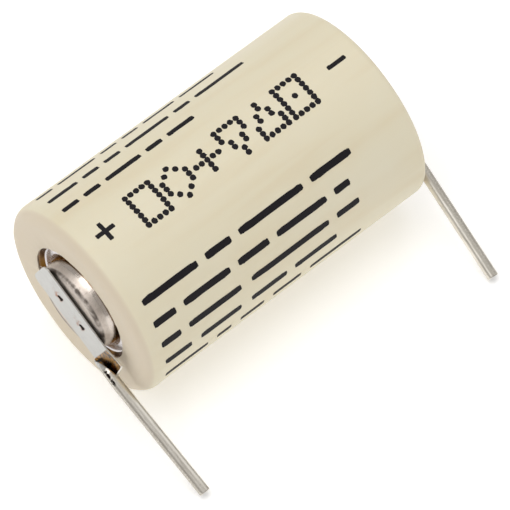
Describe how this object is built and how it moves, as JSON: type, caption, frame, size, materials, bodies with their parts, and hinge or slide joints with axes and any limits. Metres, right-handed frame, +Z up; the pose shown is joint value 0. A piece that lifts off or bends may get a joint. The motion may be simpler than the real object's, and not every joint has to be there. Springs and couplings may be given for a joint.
{
  "type": "cylindrical battery cell",
  "caption": "Half-AA lithium battery cell in a cream shrink sleeve, with a rolled solder pin welded to each end for mounting on a circuit board.",
  "frame": {"origin": "middle of the cell's axis, halfway along the sleeve", "axes": "+X along the cell's axis towards its negative end, so the positive end is at -X; +Z up, with the cell lying on its sleeve and both pins reaching out towards -Y and down to the same surface"},
  "size_m": [0.0275, 0.0205, 0.0144],
  "materials": {
    "sleeve_film": "satin cream heat-shrink film",
    "can_nickel": "bright nickel-plated steel, faintly scratched",
    "tinned_strip": "dull tin-plated strip",
    "weld_steel": "bare weld metal, heat-tinted",
    "lid_steel": "satin stainless steel",
    "gasket_polymer": "smooth dark moulded polymer",
    "fibre_board": "pale pressed fibre",
    "cathode_mix": "pressed black powder",
    "separator_cloth": "white non-woven cloth",
    "lithium_metal": "soft rolled metal, dull silver",
    "insulator_film": "natural white polymer film",
    "collector_steel": "thin annealed steel sheet",
    "print_ink": "dull dark marking ink on the sleeve"
  },
  "bodies": {
    "root": {"shrink_sleeve": "sleeve_film", "cell_can": "can_nickel", "lid_plate": "lid_steel", "lid_weld_bead": "weld_steel", "terminal_gasket": "gasket_polymer", "terminal_rivet": "can_nickel", "rivet_washer": "lid_steel", "fibre_washer": "fibre_board", "cathode_ring_1": "cathode_mix", "cathode_ring_2": "cathode_mix", "cathode_ring_3": "cathode_mix", "separator_tube": "separator_cloth", "separator_disc": "separator_cloth", "floor_insulator": "insulator_film", "lithium_anode": "lithium_metal", "anode_collector": "collector_steel", "anode_lead": "collector_steel", "top_insulator": "insulator_film", "positive_tab": "tinned_strip", "positive_tab_welds": "weld_steel", "negative_tab": "tinned_strip", "negative_tab_welds": "weld_steel"}
  },
  "joints": []
}
